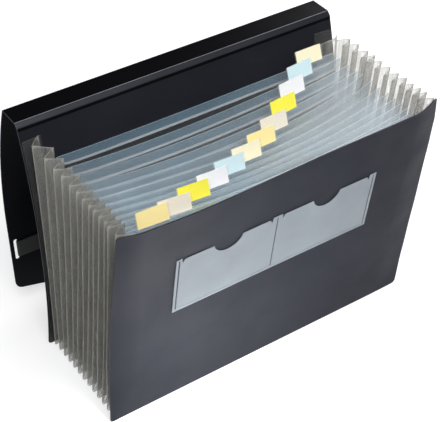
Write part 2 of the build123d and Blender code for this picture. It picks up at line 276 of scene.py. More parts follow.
class Shell:
    """Gathers closed thin sheets into one mesh, with a material number per face."""

    def __init__(self):
        self.points = []
        self.faces = []
        self.numbers = []
        self.rims = []

    def sheet(self, rows, columns, place, front=0, rear=0, edge=0, kept=None, loop=False, rim=None):
        """A closed sheet on a grid: place(i, j, side) is a corner, side 0 on the rear face, 1 on the front.
        kept(i, j) says which cells stay, loop joins the last column to the first, rim(i, j) is the way to
        the edge, and front may be a material number or a function of (i, j)."""
        start = len(self.points)
        high, wide = len(rows), len(columns)
        front_number = front if callable(front) else lambda i, j: front
        for side in (0, 1):
            for i in range(high):
                for j in range(wide):
                    self.points.append(place(i, j, side))
                    self.rims.append(rim(i, j) if rim else 99.0)

        def corner(i, j, side):
            return start + (side * high + i) * wide + j

        walls = {}
        for i in range(high - 1):
            for j in range(wide if loop else wide - 1):
                if kept and not kept(i, j):
                    continue
                after = (j + 1) % wide
                ring = [(i, j), (i, after), (i + 1, after), (i + 1, j)]
                self.faces.append([corner(a, b, 1) for a, b in ring])
                self.numbers.append(front_number(i, j))
                self.faces.append([corner(a, b, 0) for a, b in reversed(ring)])
                self.numbers.append(rear)
                for a, b in zip(ring, ring[1:] + ring[:1]):
                    if (b, a) in walls:
                        del walls[(b, a)]
                    else:
                        walls[(a, b)] = True
        for a, b in walls:
            self.faces.append([corner(*a, 0), corner(*b, 0), corner(*b, 1), corner(*a, 1)])
            self.numbers.append(edge)

    def strip(self, left, right, low, top, place, near, far):
        """A flat strip: top is a height or a list of (x, along) points from left to right."""
        profile = [(left, top), (right, top)] if isinstance(top, float) else top
        line = [profile[0]]
        for (a, first), (b, second) in zip(profile, profile[1:]):
            count = 1 + int((b - a) / 9)
            line += [(a + (b - a) * t, first + (second - first) * t) for t in steps(0, 1, count + 1)[1:]]

        def corner(i, j, side):
            x, high = line[j]
            return place(x, low + (high - low) * i / 5, far if side else near)

        self.sheet(range(6), line, corner)

    def piece(self, name, materials, slot, sharp=40):
        """Makes the mesh object, smooth except over sharp edges."""
        mesh = bpy.data.meshes.new(name)
        mesh.from_pydata([metres(p) for p in self.points], [], self.faces)
        for material in materials:
            mesh.materials.append(material)
        mesh.polygons.foreach_set("material_index", self.numbers)
        rim = mesh.attributes.new("rim", "FLOAT", "POINT")
        rim.data.foreach_set("value", self.rims)
        bm = bmesh.new()
        bm.from_mesh(mesh)
        unused = [v for v in bm.verts if not v.link_faces]
        bmesh.ops.delete(bm, geom=unused, context="VERTS")
        bmesh.ops.recalc_face_normals(bm, faces=bm.faces)
        for face in bm.faces:
            face.smooth = True
        for edge in bm.edges:
            edge.smooth = len(edge.link_faces) == 2 and edge.calc_face_angle(0.0) < radians(sharp)
        bm.to_mesh(mesh)
        bm.free()
        obj = bpy.data.objects.new(name, mesh)
        scene.collection.objects.link(obj)
        return obj


# Materials


def linear(red, green, blue):
    """Scene-linear colour of an sRGB triple from 0 to 255."""
    parts = [value / 255 for value in (red, green, blue)]
    return tuple(v / 12.92 if v <= 0.04045 else ((v + 0.055) / 1.055) ** 2.4 for v in parts)


class Nodes:
    """Short way to write a node material."""

    def __init__(self, name):
        self.material = bpy.data.materials.new(name)
        self.material.use_nodes = True
        self.tree = self.material.node_tree
        self.tree.nodes.clear()
        self.output = self.add("OutputMaterial")
        self.coordinates = self.add("TexCoord").outputs["Object"]

    def add(self, kind, **values):
        node = self.tree.nodes.new("ShaderNode" + kind)
        for key, value in values.items():
            if key in node.inputs:
                self.put(node.inputs[key], value)
            else:
                setattr(node, key, value)
        return node

    def put(self, socket, value):
        if isinstance(value, bpy.types.NodeSocket):
            self.tree.links.new(value, socket)
        elif socket.type == "RGBA":
            socket.default_value = (*value[:3], 1.0)
        else:
            socket.default_value = value

    def noise(self, scale, detail=3.0, stretch=None):
        """Noise in the piece's own metres, with a scale for each axis in stretch."""
        place = self.coordinates
        if stretch:
            place = self.add("Mapping", Scale=stretch, Vector=place).outputs["Vector"]
        node = self.add("TexNoise", Scale=scale, Detail=detail, Vector=place)
        return node.outputs["Fac"]

    def ranged(self, value, low, high, out_low, out_high):
        node = self.add("MapRange")
        for socket, item in zip(node.inputs, (value, low, high, out_low, out_high)):
            self.put(socket, item)
        return node.outputs["Result"]

    def shades(self, value, first, second):
        """Colour between two shades."""
        node = self.add("Mix", data_type="RGBA")
        self.put(node.inputs["Factor"], value)
        self.put(node.inputs[6], first)
        self.put(node.inputs[7], second)
        return node.outputs[2]

    def rim(self, reach):
        """1 at a sheet's edge, 0 further in than reach."""
        attribute = self.add("Attribute", attribute_name="rim")
        return self.ranged(attribute.outputs["Fac"], 0.0, reach, 1.0, 0.0)

    def wave(self, axis, scale, distortion):
        """Bands across an axis."""
        node = self.add("TexWave", bands_direction=axis, Scale=scale, Distortion=distortion)
        self.put(node.inputs["Vector"], self.coordinates)
        return node.outputs["Fac"]

    def maths(self, operation, first, second):
        node = self.add("Math", operation=operation)
        self.put(node.inputs[0], first)
        self.put(node.inputs[1], second)
        return node.outputs[0]

    def bump(self, height, strength, depth):
        node = self.add("Bump", Strength=strength, Distance=depth * MM, Height=height)
        return node.outputs["Normal"]

    def principled(self, colour, roughness, normal):
        shader = self.add("BsdfPrincipled", Roughness=roughness, Normal=normal)
        self.put(shader.inputs["Base Color"], colour)
        return shader

    def mixed(self, share, first, second):
        """Shader mixed from two."""
        node = self.add("MixShader", Fac=share)
        self.put(node.inputs[1], first.outputs[0])
        self.put(node.inputs[2], second.outputs[0])
        return node

    def surface(self, shader):
        self.put(self.output.inputs["Surface"], shader.outputs[0])
        return self.material


def cover_plastic(name, shade, worn_and_sheen, roughness, specular, tint=(1.0, 1.0, 1.0)):
    """Polypropylene cover sheet: fine sand grain, faint cloudiness and paler edges, part rubbing wear and
    part painted sheen.
    """
    n = Nodes(name)
    cloud = n.noise(9.0, 4.0)
    grain = n.noise(1900.0, 2.0)
    lighter = tuple(1.35 * value for value in shade)
    colour = n.shades(n.ranged(cloud, 0.35, 0.7, 0.0, 1.0), shade, lighter)
    # Paler edges: part rubbing wear, part painted sheen along the edges
    rubbed_and_sheen = n.maths("MULTIPLY", n.rim(0.9), n.ranged(n.noise(60.0), 0.3, 0.75, 0.25, 0.9))
    colour = n.shades(rubbed_and_sheen, colour, worn_and_sheen)
    uneven = n.ranged(n.noise(35.0, 5.0), 0.3, 0.7, roughness - 0.05, roughness + 0.07)
    shader = n.principled(colour, uneven, n.bump(grain, 0.25, 0.05))
    shader.inputs["Specular IOR Level"].default_value = specular
    n.put(shader.inputs["Specular Tint"], tint)
    return n.surface(shader)


MOST_OPAQUE = 0.97


def film(
    name, shade, glow, opacity, through, roughness,
    haze=0.06, rim=(0.8, 0.25), streak=None, crease=None,
):
    """Thin plastic film: part clear, part scattering light through with its glow, part in its own shade.
    opacity is for one face of the film and haze is how much it varies, through is the scattered share,
    rim is (reach, added opacity), streak stretches the haze, and crease is the paler shade near its folds
    and edges: part stress whitening, part painted highlight."""
    n = Nodes(name)
    cloud = n.noise(26.0, 4.0, stretch=streak)
    fine = n.noise(900.0, 2.0)
    cover = n.ranged(cloud, 0.25, 0.75, max(0.0, opacity - haze), min(MOST_OPAQUE, opacity + haze))
    reach, more = rim
    edge = n.ranged(n.rim(reach), 0.0, 1.0, 0.0, min(MOST_OPAQUE, opacity + more))
    cover = n.maths("MAXIMUM", cover, edge)
    paler = tuple(min(1.0, 1.12 * value) for value in shade)
    colour = n.shades(cloud, shade, paler)
    if crease:
        colour = n.shades(n.rim(reach), colour, crease)
    uneven = n.ranged(fine, 0.3, 0.7, roughness - 0.04, roughness + 0.06)
    shader = n.principled(colour, uneven, n.bump(fine, 0.15, 0.03))
    dimmer = tuple(0.9 * value for value in glow)
    forward = n.add("BsdfTranslucent", Color=n.shades(cloud, dimmer, glow))
    body = n.mixed(through, shader, forward)
    return n.surface(n.mixed(cover, n.add("BsdfTransparent"), body))


def card_stock(name, shade):
    """Matt index card with a faint paper fibre."""
    n = Nodes(name)
    fibre = n.noise(700.0, 5.0, stretch=(1.0, 1.0, 3.0))
    darker = tuple(0.93 * value for value in shade)
    colour = n.shades(n.ranged(fibre, 0.3, 0.7, 0.0, 1.0), darker, shade)
    shader = n.principled(colour, n.ranged(fibre, 0.3, 0.7, 0.75, 0.9), n.bump(fibre, 0.3, 0.04))
    shader.inputs["Specular IOR Level"].default_value = 0.2
    return n.surface(shader)


def woven_elastic(name):
    """Flat black elastic: fine ribs along the band and a crossing weave."""
    n = Nodes(name)
    weave = n.maths("MULTIPLY", n.wave("Z", 260.0, 0.4), n.wave("X", 420.0, 0.8))
    colour = n.shades(weave, (0.004, 0.004, 0.005), (0.014, 0.014, 0.016))
    shader = n.principled(colour, n.ranged(weave, 0.0, 1.0, 0.75, 0.6), n.bump(weave, 0.6, 0.15))
    shader.inputs["Sheen Weight"].default_value = 0.08
    return n.surface(shader)


COOL = (0.84, 0.9, 1.0)
OUTSIDE = cover_plastic("cover_outside", (0.012, 0.0133, 0.0205), (0.04, 0.043, 0.055), 0.44, 0.1, COOL)
INSIDE = cover_plastic("cover_inside", (0.0105, 0.0109, 0.015), (0.03, 0.031, 0.04), 0.4, 0.09, COOL)
# Darker copies of the outside and inside finishes, for the lid and the back cover's rear face: painted
# shade
OUTSIDE_PAINTED_SHADE = cover_plastic("cover_outside_painted_shade", (0.0025, 0.0027, 0.0042), (0.02, 0.021, 0.026), 0.46, 0.09, COOL)
INSIDE_PAINTED_SHADE = cover_plastic("cover_inside_painted_shade", (0.0026, 0.0026, 0.0034), (0.014, 0.014, 0.018), 0.5, 0.02, COOL)
EDGE = cover_plastic("cover_edge", (0.006, 0.0064, 0.0085), (0.02, 0.021, 0.026), 0.5, 0.2)
# Paler hinge band: painted light; pale line along its upper bend: painted highlight
CREASE_PAINTED_LIGHT = cover_plastic("crease_band_painted_light", (0.014, 0.0146, 0.018), (0.04, 0.042, 0.05), 0.42, 0.22, COOL)
CREASE_PAINTED_HIGHLIGHT = cover_plastic("crease_line_painted_highlight", (0.17, 0.175, 0.19), (0.18, 0.185, 0.2), 0.45, 0.4)
WARM = linear(186, 183, 176)
PALE = linear(230, 233, 235)
# Paler shade of the gusset folds and top edges: part stress whitening, part painted highlight
FOLD_WHITENED_AND_HIGHLIT = linear(234, 232, 226)
SMOKE = linear(160, 158, 151)
GUSSET = film(
    "gusset_film", linear(186, 186, 180), SMOKE, 0.31, 0.5, 0.36,
    haze=0.16, rim=(1.0, 0.4), streak=(14.0, 14.0, 0.12), crease=FOLD_WHITENED_AND_HIGHLIT,
)
WELDED = film(
    "gusset_welded_film", linear(176, 175, 168), WARM, 0.05, 0.3, 0.42,
    haze=0.015, rim=(0.8, 0.05),
)
GUSSET_EDGE = film("gusset_film_edge", linear(180, 178, 172), WARM, 0.25, 0.6, 0.4)
MILKY = linear(250, 250, 249)
DIVIDER = film("divider_film", linear(212, 220, 225), MILKY, 0.25, 0.97, 0.35, haze=0.01, rim=(0.5, 0.03))
HEM = film("hem_film", linear(156, 203, 232), MILKY, 0.1, 0.3, 0.35, haze=0.012, rim=(0.6, 0.08))
WELD = film("hem_weld", linear(208, 219, 225), MILKY, 0.25, 0.2, 0.38, haze=0.04)
POCKET = film("pocket_film", linear(170, 179, 186), PALE, 0.64, 0.08, 0.42, haze=0.03)
SLEEVE = film("sleeve_film", linear(238, 241, 242), PALE, 0.03, 0.3, 0.2, haze=0.01, rim=(0.6, 0.1))
ELASTIC = woven_elastic("woven_elastic")
CARD_SHADES = {
    "card_orange": (252, 232, 160),
    "card_beige": (234, 226, 208),
    "card_yellow": (250, 240, 62),
    "card_white": (240, 240, 244),
    "card_blue": (206, 230, 236),
    "card_cream": (249, 240, 206),
}
CARDS = [(name, card_stock(name, linear(*shade))) for name, shade in CARD_SHADES.items()]


def rounded_rows(low, high, low_radius, high_radius, between_rows):
    """Rows up a sheet as (along, inset from its full half width), with rounded corners."""
    rows = []
    turn = steps(0, pi / 2, 6)
    low_centre = low + low_radius
    high_centre = high - high_radius
    if low_radius:
        rows += [(low_centre - low_radius * cos(a), low_radius - low_radius * sin(a)) for a in turn]
    else:
        rows.append((low, 0.0))
    rows += [(along, 0.0) for along in steps(low_centre, high_centre, between_rows)[1:-1]]
    if high_radius:
        rows += [(high_centre + high_radius * sin(a), high_radius - high_radius * cos(a)) for a in turn]
    else:
        rows.append((high, 0.0))
    return rows


# Front cover: its side edges curl back, drawn by the gussets


def edge_share(x):
    """0 on the flat of the front cover, 1 at its side edges."""
    start = RIGHT_CURL_FROM if x > 0 else LEFT_CURL_FROM
    return max(0.0, (abs(x) - start) / (HALF_WIDTH - start)) ** CURL_POWER


def edge_curl(x, along):
    """How far the front cover stands back near its side edges."""
    return between(RIGHT_CURL if x > 0 else LEFT_CURL, along) * edge_share(x)


def edge_inset(x, along):
    """How far the curl draws the left edge in, towards its top corner."""
    rise = smooth((along - LEFT_INSET_FROM) / (FRONT_HEIGHT - LEFT_INSET_FROM))
    return LEFT_INSET * rise * edge_share(x) if x < 0 else 0.0


def front_bow(x, along):
    """How far the front cover bows out near its top edge."""
    return between(FRONT_BOW, x) * (max(0.0, along) / FRONT_HEIGHT) ** FRONT_BOW_POWER


def front_stand(x, along):
    return front_bow(x, along) - edge_curl(x, along)


COVER_COLUMNS = [-1 + step * 0.012 for step in range(15)] + steps(-0.82, 0.82, 24)[1:-1]
COVER_COLUMNS += [-u for u in reversed(COVER_COLUMNS[:15])]


def cover_rim(rows, high):
    """Way from a place on a cover's grid to its nearest edge."""
    def rim(i, j):
        along, inset = rows[i]
        half = HALF_WIDTH - inset
        return max(0.0, min(half - abs(COVER_COLUMNS[j] * half), along, high - along))
    return rim


front_rows = rounded_rows(0, FRONT_HEIGHT, CORNER_RADIUS, CORNER_RADIUS, 26)


def front_place(i, j, side):
    along, inset = front_rows[i]
    x = COVER_COLUMNS[j] * (HALF_WIDTH - inset)
    stand = SHEET * side + front_stand(x, along)
    x, y, z = on_sheet(0, x + edge_inset(x, along), along, stand)
    return x, y, max(0.0, z)


shell = Shell()
front_rim = cover_rim(front_rows, FRONT_HEIGHT)
shell.sheet(front_rows, COVER_COLUMNS, front_place, 0, 1, 2, rim=front_rim)
front_cover = shell.piece("front_cover_sheet", [OUTSIDE, INSIDE, EDGE], "cover")
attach(front_cover, "front")
flatten_to(front_cover, 0, SHEET)
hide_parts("front_cover")

# Card pocket: frosted film with pressed weld grooves, thumb notches and small relief cuts
POCKET_X = -5.0
POCKET_WIDTH = 207.5
POCKET_LEFT = POCKET_X - POCKET_WIDTH / 2
POCKET_RIGHT = POCKET_X + POCKET_WIDTH / 2
POCKET_MIDDLE = -7.6
POCKET_BASE = 122.3
POCKET_TOP = 187.2
STRIP_TOP = 188.7
POCKET_AIR = 0.5
POCKET_FILM = 0.4
FILM_LOW = SHEET + POCKET_AIR
FILM_HIGH = FILM_LOW + POCKET_FILM
GROOVE = 1.1
SIDE_RIM = 2.4
BASE_RIM = 2.0
THUMB_RADIUS = 14.7
THUMB_DEPTH = 11.6
LEFT_CUT = 6.2
MIDDLE_CUT = 5.6
RIGHT_CUT = 7.8
BRIDGE = 1.6
# Outline of a relief cut as (out, along): steep first, then sloping
RELIEF = [(-0.9, STRIP_TOP), (0.0, STRIP_TOP - 5.6), (1.7, POCKET_TOP - 0.7), (3.2, POCKET_TOP)]
# Weld bars below the film: insets of them all, then the places of the two middle ones
BAR_INSET = 0.3
BAR_GAP = 0.2
BAR_DROP = 0.6
BAR_NEAR = 0.9
BAR_FAR = 2.0
BAR_RISE = 3.6


def on_front(x, along, ahead):
    return on_sheet(0, x, along, ahead + front_bow(x, along))


def relief(x, lean):
    """Small cut beside a weld strip, from the strip to the film."""
    return [(x + lean * out, along) for out, along in RELIEF]


def thumb_notch(x):
    """Arc of a thumb notch in a film's top edge, from left to right."""
    rise = THUMB_RADIUS - THUMB_DEPTH
    half_turn = atan2(sqrt(THUMB_RADIUS ** 2 - rise ** 2), rise)
    turns = steps(-half_turn, half_turn, 19)
    return [(x + THUMB_RADIUS * sin(a), POCKET_TOP + rise - THUMB_RADIUS * cos(a)) for a in turns]


def film_top(left, right, cut_left, cut_right):
    """Top edge of one pocket's film, from left to right."""
    line = [(left, STRIP_TOP)] + relief(cut_left, 1)
    line += thumb_notch((cut_left + cut_right) / 2)
    return line + relief(cut_right, -1)[::-1] + [(right, STRIP_TOP)]


shell = Shell()
left_groove = POCKET_LEFT + SIDE_RIM
right_groove = POCKET_RIGHT - SIDE_RIM
groove_half = GROOVE / 2
film_base = POCKET_BASE + BASE_RIM + GROOVE
bridge = STRIP_TOP - BRIDGE
left_film = (left_groove + GROOVE, POCKET_MIDDLE - groove_half)
right_film = (POCKET_MIDDLE + groove_half, right_groove - GROOVE)
left_top = film_top(*left_film, POCKET_LEFT + LEFT_CUT, POCKET_MIDDLE - MIDDLE_CUT)
right_top = film_top(*right_film, POCKET_MIDDLE + MIDDLE_CUT, POCKET_RIGHT - RIGHT_CUT)
FILM_STRIPS = [
    (POCKET_LEFT, left_groove, POCKET_BASE, STRIP_TOP),
    (right_groove, POCKET_RIGHT, POCKET_BASE, STRIP_TOP),
    (left_groove, right_groove, POCKET_BASE, POCKET_BASE + BASE_RIM),
    (left_groove, left_groove + GROOVE, bridge, STRIP_TOP),
    (right_groove - GROOVE, right_groove, bridge, STRIP_TOP),
    (POCKET_MIDDLE - groove_half, POCKET_MIDDLE + groove_half, bridge, STRIP_TOP),
    (*left_film, film_base, left_top),
    (*right_film, film_base, right_top),
]
for left, right, low, top in FILM_STRIPS:
    shell.strip(left, right, low, top, on_front, FILM_LOW, FILM_HIGH)
bar_low = POCKET_BASE + BAR_INSET
bar_top = STRIP_TOP - BAR_DROP
middle_low = POCKET_BASE + BAR_RISE
WELD_BARS = [
    (POCKET_LEFT + BAR_INSET, left_groove - BAR_GAP, bar_low, bar_top),
    (right_groove + BAR_GAP, POCKET_RIGHT - BAR_INSET, bar_low, bar_top),
    (left_groove, right_groove, bar_low, POCKET_BASE + BASE_RIM - BAR_GAP),
    (POCKET_MIDDLE - BAR_FAR, POCKET_MIDDLE - BAR_NEAR, middle_low, bar_top),
    (POCKET_MIDDLE + BAR_NEAR, POCKET_MIDDLE + BAR_FAR, middle_low, bar_top),
]
for left, right, low, top in WELD_BARS:
    shell.strip(left, right, low, top, on_front, SHEET, FILM_LOW - FILM_GAP)
card_pocket = shell.piece("card_pocket_film", [POCKET], "frosted_pocket")
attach(card_pocket, "front")
flatten_to(card_pocket, 0, SHEET)
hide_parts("card_pocket")

# Back cover: its side edges stand forward between its foot and its top crease


def back_bow(x, along):
    share = min(1.0, max(0.0, along / (BACK_HEIGHT - FLAT_TOP)))
    reach = max(0.0, abs(x) - BACK_CURL_FROM) / (HALF_WIDTH - BACK_CURL_FROM)
    return BACK_CURL * reach ** CURL_POWER * 4 * share * (1 - share)


back_rows = rounded_rows(0, BACK_HEIGHT - FLAT_TOP, CORNER_RADIUS, 0, 30)


def back_place(i, j, side):
    along, inset = back_rows[i]
    x = COVER_COLUMNS[j] * (HALF_WIDTH - inset)
    x, y, z = on_sheet(POCKETS, x, along, SHEET * (side - 1) + back_bow(x, along))
    return x, y, max(0.0, z)


shell = Shell()
back_rim = cover_rim(back_rows, BACK_HEIGHT)
shell.sheet(back_rows, COVER_COLUMNS, back_place, 0, 1, 2, rim=back_rim)
back_panel = shell.piece("back_cover_panel", [INSIDE, OUTSIDE_PAINTED_SHADE, EDGE], "cover")
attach(back_panel, "back")
flatten_to(back_panel, POCKETS, -SHEET)
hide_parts("back_cover")

# Lid: one bent sheet, its path drawn on the face that is inside when the folder is shut
BACK_TOP = (BACK_FLOOR_Y + BACK_HEIGHT * sin(BACK_LEAN), BACK_HEIGHT * cos(BACK_LEAN))
SPINE_CREASE = (BACK_TOP[0] + BAND_WIDTH * sin(BAND_LEAN), BACK_TOP[1] + BAND_WIDTH * cos(BAND_LEAN))
FLAP_CREASE = (SPINE_CREASE[0] + SPINE_DEPTH, SPINE_CREASE[1])
SEAM_RUN = 5.0
BLEND_REACH = 2.4
# Reach of the soft bends beside the creases, and where the flat sheet starts
BACK_EASE = 2.2
SPINE_EASE = 0.9
SPINE_FLAT = 2.2
FLAP_EASE = 1.0
FLAP_FLAT = 2.6
LID_SEAM = (FLAP_CREASE[0] - SEAM_RUN, FLAP_CREASE[1])
FLAP_START = (
    FLAP_CREASE[0] + FLAP_RETREAT * sin(FLAP_START_LEAN),
    FLAP_CREASE[1] - FLAP_RETREAT * cos(FLAP_START_LEAN),
)


def toward(start, end, length):
    """Point at a length from start in the direction of end."""
    away = Vector(end) - Vector(start)
    return tuple(Vector(start) + away.normalized() * length)


def eased_corner(before, corner, after, reach, count=7):
    """Points of a soft bend at a corner of a path."""
    first = Vector(toward(corner, before, reach))
    last = Vector(toward(corner, after, reach))
    middle = Vector(corner)
    turn = steps(0, 1, count)
    return [tuple(first * (1 - t) ** 2 + middle * 2 * t * (1 - t) + last * t ** 2) for t in turn]


def right_of(path):
    """Unit directions to the right of a path, at each of its points."""
    found = []
    for before, after in zip(path[:1] + path[:-1], path[1:] + path[-1:]):
        ahead = (Vector(after) - Vector(before)).normalized()
        found.append((ahead[1], -ahead[0]))
    return found


panel_end = on_sheet(POCKETS, 0, BACK_HEIGHT - FLAT_TOP, 0)[1:]
crease_path = [panel_end]
crease_path += eased_corner(panel_end, BACK_TOP, SPINE_CREASE, BACK_EASE, 9)
crease_path += eased_corner(BACK_TOP, SPINE_CREASE, FLAP_CREASE, SPINE_EASE)
crease_path += [(y, SPINE_CREASE[1]) for y in steps(SPINE_CREASE[0] + SPINE_FLAT, LID_SEAM[0], 8)]
crease_sides = right_of(crease_path)


def crease_place(i, j, side):
    y, z = crease_path[i]
    away = crease_sides[i]
    depth = SHEET * (1 - side)
    return COVER_COLUMNS[j] * HALF_WIDTH, y + depth * away[0], z + depth * away[1]


def crease_rim(i, j):
    return HALF_WIDTH * (1 - abs(COVER_COLUMNS[j]))


# Rows of the crease path on the hinge band, painted paler as lit, and on its upper bend's painted highlight
# line
LIT_BAND_ROWS = range(5, 11)
HIGHLIGHT_ROWS = range(12, 14)
LID_FINISHES = [INSIDE_PAINTED_SHADE, OUTSIDE_PAINTED_SHADE, EDGE, CREASE_PAINTED_LIGHT, CREASE_PAINTED_HIGHLIGHT]


def crease_painted_finish(i, j):
    """The hinge band is painted paler than the sheet, as painted light where it tilts up to the light, with
    a painted highlight line along its upper bend.
    """
    if i in HIGHLIGHT_ROWS:
        return LID_FINISHES.index(CREASE_PAINTED_HIGHLIGHT)
    return LID_FINISHES.index(CREASE_PAINTED_LIGHT) if i in LIT_BAND_ROWS else 0


shell = Shell()
shell.sheet(crease_path, COVER_COLUMNS, crease_place, crease_painted_finish, 1, 2, rim=crease_rim)
lid_spine = shell.piece("lid_spine_sheet", LID_FINISHES, "cover", sharp=60)
CREASE_LEAN = (BAND_LEAN + pi / 2) / 2
CREASE_RUN = Vector((sin(CREASE_LEAN), cos(CREASE_LEAN))) * BLEND_REACH
metres((0, SPINE_CREASE[0] - CREASE_RUN[0], SPINE_CREASE[1] - CREASE_RUN[1]))
metres((0, SPINE_CREASE[0] + CREASE_RUN[0], SPINE_CREASE[1] + CREASE_RUN[1]))
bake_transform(lid_spine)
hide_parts("lid_spine", "back_cover")

# Lid flap: from the seam on the spine, over the crease, round its bend and down
flap_turns = steps(FLAP_START_LEAN, FLAP_END_LEAN, 40)
bend = [
    (FLAP_START[0] + FLAP_BEND_RADIUS * (cos(lean) - cos(FLAP_START_LEAN)),
     FLAP_START[1] - FLAP_BEND_RADIUS * (sin(FLAP_START_LEAN) - sin(lean)))
    for lean in flap_turns
]
BEND_END = bend[-1]
FLAP_END = (
    BEND_END[0] + FLAP_HANG_LENGTH * sin(FLAP_END_LEAN),
    BEND_END[1] - FLAP_HANG_LENGTH * cos(FLAP_END_LEAN),
)
SLOT_Z = FLAP_END[1] + SLOT_FROM_END
TAPER_Z = FLAP_END[1] + FLAP_TAPER_RISE
# Rows down the hanging part, close together beside the slots and near its end
hang_z = steps(BEND_END[1], SLOT_Z + 14, 6)[1:] + steps(SLOT_Z + 13, SLOT_Z - 13, 27)
hang_z += steps(SLOT_Z - 14, TAPER_Z + 8, 8) + steps(TAPER_Z + 7.4, FLAP_END[1], 32)


def hang_y(z):
    return BEND_END[0] + (BEND_END[1] - z) * tan(FLAP_END_LEAN)


flap_path = [LID_SEAM, toward(FLAP_CREASE, LID_SEAM, FLAP_FLAT)]
flap_path += eased_corner(LID_SEAM, FLAP_CREASE, bend[3], FLAP_EASE)
flap_path += bend[1:] + [(hang_y(z), z) for z in hang_z]
flap_sides = right_of(flap_path)
# Columns from the side edge in, closer together beside the slots
FLAP_COLUMNS = [165, 164.4, 163.6, 162.6, 161.8] + [161 - 0.5 * step for step in range(9)]
FLAP_COLUMNS += [156.2, 155, 152, 147, 140, 130, 115, 100, 80, 60, 40, 20, 0]
FLAP_COLUMNS = [-x for x in FLAP_COLUMNS] + list(reversed(FLAP_COLUMNS[:-1]))
# Points this near to a slot's outline are drawn to it; rows before the first slot row aren't cut
SLOT_PULL = 0.52
FIRST_SLOT_ROW = 10


def flap_half(z):
    """Half width of the flap at a height: full, then round its corner and along the taper."""
    half_turn = (pi / 2 - atan2(FLAP_TAPER_RISE, FLAP_TAPER_RUN)) / 2
    tangent = FLAP_CORNER_RADIUS * tan(half_turn)
    centre_z = TAPER_Z + tangent
    slope = FLAP_TAPER_RUN / FLAP_TAPER_RISE
    if z >= centre_z:
        return HALF_WIDTH
    if z >= TAPER_Z - tangent / sqrt(1 + slope ** 2):
        return HALF_WIDTH - FLAP_CORNER_RADIUS + sqrt(FLAP_CORNER_RADIUS ** 2 - (centre_z - z) ** 2)
    return HALF_WIDTH - (TAPER_Z - z) * slope


def slot_way(x, z):
    """Signed way to the slot's outline and the nearest point on its middle line."""
    reach = (SLOT_LENGTH - SLOT_WIDTH) / 2
    middle_z = min(SLOT_Z + reach, max(SLOT_Z - reach, z))
    middle_x = SLOT_X if x > 0 else -SLOT_X
    away = sqrt((x - middle_x) ** 2 + (z - middle_z) ** 2)
    return away - SLOT_WIDTH / 2, middle_x, middle_z


def flap_flat(i, j):
    """Place on the flap as (x, z), with the points beside a slot drawn to its outline."""
    z = flap_path[i][1]
    x = FLAP_COLUMNS[j] * flap_half(z) / HALF_WIDTH
    way, middle_x, middle_z = slot_way(x, z)
    if abs(way) < SLOT_PULL:
        scale = (SLOT_WIDTH / 2) / (way + SLOT_WIDTH / 2)
        x = middle_x + (x - middle_x) * scale
        z = middle_z + (z - middle_z) * scale
    return x, z


def flap_kept(i, j):
    x = (FLAP_COLUMNS[j] + FLAP_COLUMNS[j + 1]) / 2
    z = (flap_path[i][1] + flap_path[i + 1][1]) / 2
    return i < FIRST_SLOT_ROW or slot_way(x, z)[0] > 0


def flap_place(i, j, side):
    y, z = flap_path[i]
    x, moved = flap_flat(i, j)
    if moved != z:
        y, z = hang_y(moved), moved
    away = flap_sides[i]
    depth = SHEET * (1 - side)
    return x, y + depth * away[0], z + depth * away[1]


def flap_rim(i, j):
    x, z = flap_flat(i, j)
    return max(0.0, min(flap_half(z) - abs(x), z - FLAP_END[1], abs(slot_way(x, z)[0])))


shell = Shell()
shell.sheet(flap_path, FLAP_COLUMNS, flap_place, 0, 1, 2, kept=flap_kept, rim=flap_rim)
lid_flap = shell.piece("lid_flap_sheet", [INSIDE_PAINTED_SHADE, OUTSIDE_PAINTED_SHADE, EDGE], "cover", sharp=60)
FLAP_RUN = Vector((1 + sin(FLAP_START_LEAN), -cos(FLAP_START_LEAN))).normalized() * BLEND_REACH
metres((0, FLAP_CREASE[0] - FLAP_RUN[0], FLAP_CREASE[1] - FLAP_RUN[1]))
metres((0, FLAP_CREASE[0] + FLAP_RUN[0], FLAP_CREASE[1] + FLAP_RUN[1]))
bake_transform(lid_flap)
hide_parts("lid_flap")

# Closure band: a flat elastic loop through both slots, close to their inner edges
ELASTIC_WIDTH = 18.0
ELASTIC_THICKNESS = 0.9
ELASTIC_GAP = 0.3
LOOP_PLAY = 0.15
LOOP_HALF = SLOT_X - SLOT_WIDTH / 2 + ELASTIC_THICKNESS / 2 + LOOP_PLAY
LOOP_FRONT = SHEET + ELASTIC_GAP + ELASTIC_THICKNESS / 2
LOOP_REAR = -ELASTIC_GAP - ELASTIC_THICKNESS / 2
LOOP_CORNER = 0.8
EDGE_ROLL = 0.28


def band_loop():
    """Middle line of the band round the flap as (x, ahead of the flap's rear face)."""
    flat = LOOP_HALF - LOOP_CORNER
    front = LOOP_FRONT - LOOP_CORNER
    rear = LOOP_REAR + LOOP_CORNER

    def turn(x, ahead, start):
        angles = [start - a for a in steps(0, pi / 2, 5)[1:]]
        return [(x + LOOP_CORNER * cos(a), ahead + LOOP_CORNER * sin(a)) for a in angles]

    ring = [(x, LOOP_FRONT) for x in steps(-flat, flat, 30)]
    ring += turn(flat, front, pi / 2) + turn(flat, rear, 0)
    ring += [(x, LOOP_REAR) for x in steps(flat, -flat, 30)[1:]]
    ring += turn(-flat, rear, -pi / 2) + turn(-flat, front, -pi)
    return ring[:-1]


band_ring = band_loop()
band_half = [ELASTIC_WIDTH / 2 - inset for inset in (0.0, 0.3, 1.0, 4.0, 7.0)]
band_across = [-up for up in band_half] + band_half[::-1]
HANG_FACING = (-cos(FLAP_END_LEAN), -sin(FLAP_END_LEAN))
HANG_UP = (-sin(FLAP_END_LEAN), cos(FLAP_END_LEAN))


